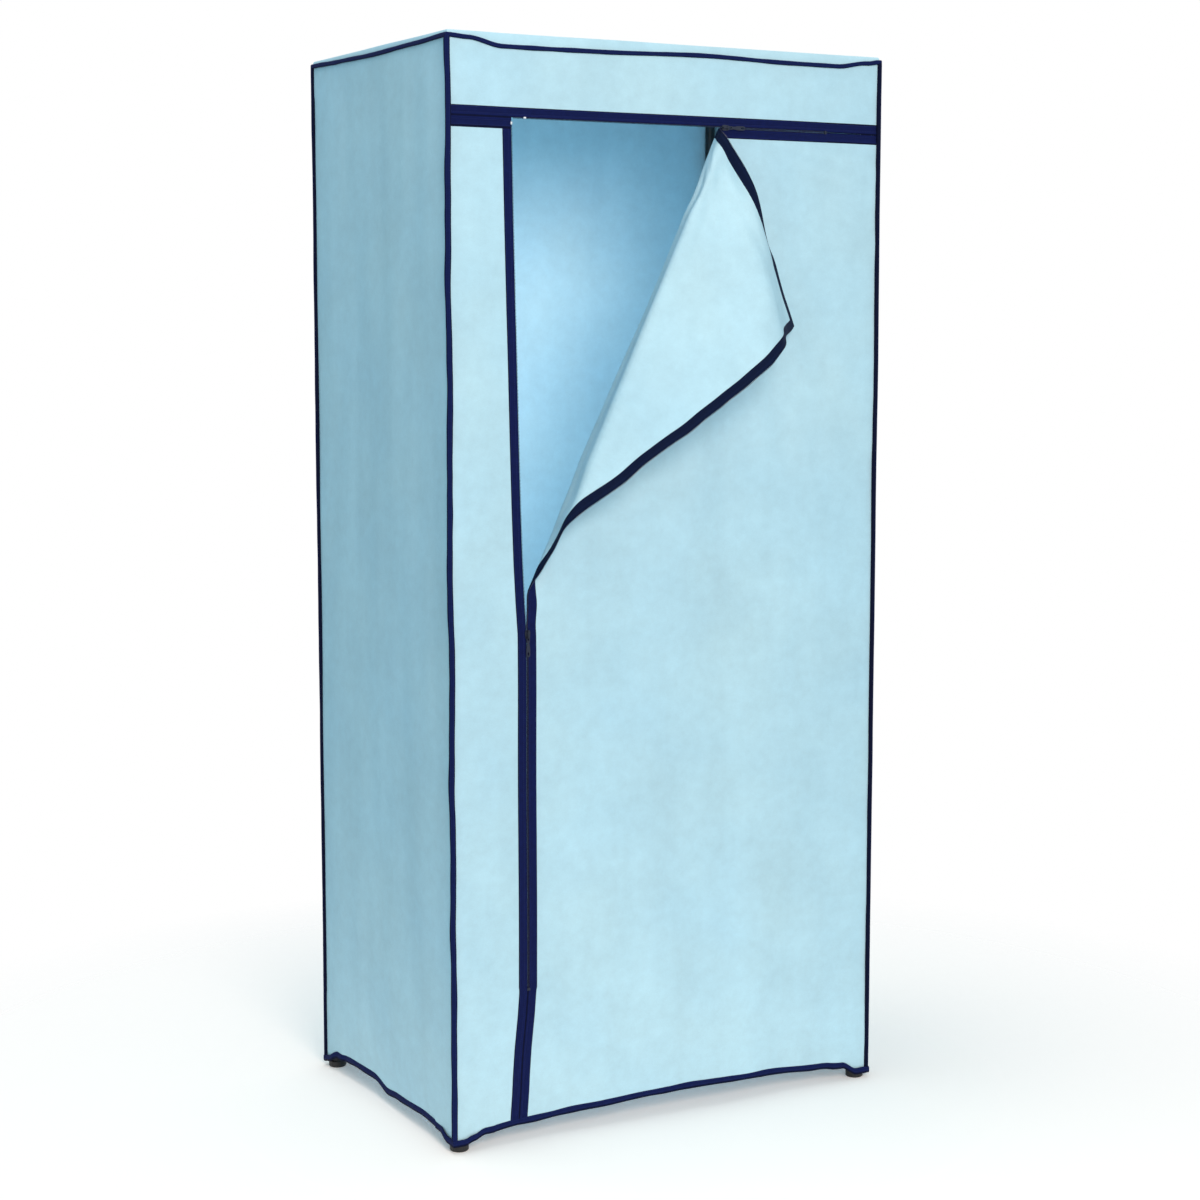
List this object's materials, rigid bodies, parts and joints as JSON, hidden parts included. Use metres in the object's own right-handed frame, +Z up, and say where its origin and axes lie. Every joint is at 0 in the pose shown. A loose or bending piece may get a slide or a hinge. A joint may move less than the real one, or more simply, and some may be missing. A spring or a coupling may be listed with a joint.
{
  "type": "portable fabric wardrobe",
  "caption": "Free-standing wardrobe: a tube frame with a hanging rod under a zipped cloth cover, its door corner folded back.",
  "frame": {"origin": "on the floor, at the middle of the whole footprint, which includes the folded corner's reach in front", "axes": "+Z up, the door faces -Y, +X to the right when the wardrobe is seen from the front"},
  "size_m": [0.734, 0.602, 1.6],
  "materials": {
    "cover_cloth": "matte pale blue non-woven cloth with a faint mottle",
    "zip_tape": "navy woven zip tape with stitching",
    "edge_binding": "navy bias binding, folded over the seam",
    "frame_tube": "black powder-coated thin steel tube",
    "frame_plastic": "black moulded plastic",
    "zip_metal": "dark grey enamelled zip metal"
  },
  "bodies": {
    "wardrobe_body": {"back_cloth": "cover_cloth", "bottom_rail_back": "frame_tube", "bottom_rail_front": "frame_tube", "bottom_rail_left": "frame_tube", "bottom_rail_right": "frame_tube", "corner_binding_back_left": "edge_binding", "corner_binding_back_right": "edge_binding", "corner_binding_front_left": "edge_binding", "corner_binding_front_right": "edge_binding", "door_cloth": "cover_cloth", "door_side_tape": "zip_tape", "door_top_tape": "zip_tape", "foot_connector_back_left": "frame_plastic", "foot_connector_back_right": "frame_plastic", "foot_connector_front_left": "frame_plastic", "foot_connector_front_right": "frame_plastic", "front_strip_cloth": "cover_cloth", "hanging_rod": "frame_tube", "header_cloth": "cover_cloth", "header_zip_tape": "zip_tape", "hem_binding": "edge_binding", "left_side_cloth": "cover_cloth", "lower_post_back_left": "frame_tube", "lower_post_back_right": "frame_tube", "lower_post_front_left": "frame_tube", "lower_post_front_right": "frame_tube", "right_side_cloth": "cover_cloth", "rod_bracket_left": "frame_plastic", "rod_bracket_right": "frame_plastic", "roof_binding": "edge_binding", "roof_cloth": "cover_cloth", "side_zip_stop": "zip_metal", "strip_zip_tape": "zip_tape", "top_connector_back_left": "frame_plastic", "top_connector_back_right": "frame_plastic", "top_connector_front_left": "frame_plastic", "top_connector_front_right": "frame_plastic", "top_rail_back": "frame_tube", "top_rail_front": "frame_tube", "top_rail_left": "frame_tube", "top_rail_right": "frame_tube", "top_zip_stop": "zip_metal", "upper_post_back_left": "frame_tube", "upper_post_back_right": "frame_tube", "upper_post_front_left": "frame_tube", "upper_post_front_right": "frame_tube"},
    "side_slider": {"side_zip_slider": "zip_metal"},
    "side_pull": {"side_zip_pull": "zip_metal"},
    "top_slider": {"top_zip_slider": "zip_metal"},
    "top_pull": {"top_zip_pull": "zip_metal"},
    "door_fold": {"fold_cloth": "cover_cloth", "fold_side_tape": "zip_tape", "fold_top_tape": "zip_tape"},
    "door_leaf": {"leaf_cloth": "cover_cloth", "leaf_side_tape": "zip_tape", "leaf_top_tape": "zip_tape"},
    "door_corner": {"corner_cloth": "cover_cloth", "corner_tape": "zip_tape"}
  },
  "joints": [
    {"name": "side_zip_travel", "type": "slide", "parent": "wardrobe_body", "child": "side_slider", "axis": [0, 0, 1], "range_m": [-0.515, 0]},
    {"name": "side_pull_swing", "type": "hinge", "parent": "side_slider", "child": "side_pull", "pos_m": [-0.244, -0.18461, 0.75008], "axis": [-1, 0, 0], "range_deg": [0, 150]},
    {"name": "top_zip_travel", "type": "slide", "parent": "wardrobe_body", "child": "top_slider", "axis": [1, 0, 0], "range_m": [0, 0.168]},
    {"name": "top_pull_swing", "type": "hinge", "parent": "top_slider", "child": "top_pull", "pos_m": [0.08992, -0.18461, 1.483], "axis": [0, 0, -1], "range_deg": [0, 150]},
    {"name": "door_close", "type": "hinge", "parent": "wardrobe_body", "child": "door_fold", "pos_m": [-0.57743, -0.18101, 0.10072], "axis": [-0.4284, 0, -0.9036], "range_deg": [0, 77]},
    {"name": "door_leaf_turn", "type": "hinge", "parent": "door_fold", "child": "door_leaf", "pos_m": [-0.59013, -0.27982, 0.12718], "axis": [-0.4389, -0.0534, -0.8969], "range_deg": [0, 78]},
    {"name": "door_corner_turn", "type": "hinge", "parent": "door_leaf", "child": "door_corner", "pos_m": [0.15091, -0.49939, 0.41955], "axis": [0.0606, -0.2677, -0.9616], "range_deg": [0, 62]}
  ],
  "couplings": [
    {"joint": "door_leaf_turn", "follows": "door_close", "ratio": 1.013},
    {"joint": "door_corner_turn", "follows": "door_close", "ratio": 0.80519}
  ]
}
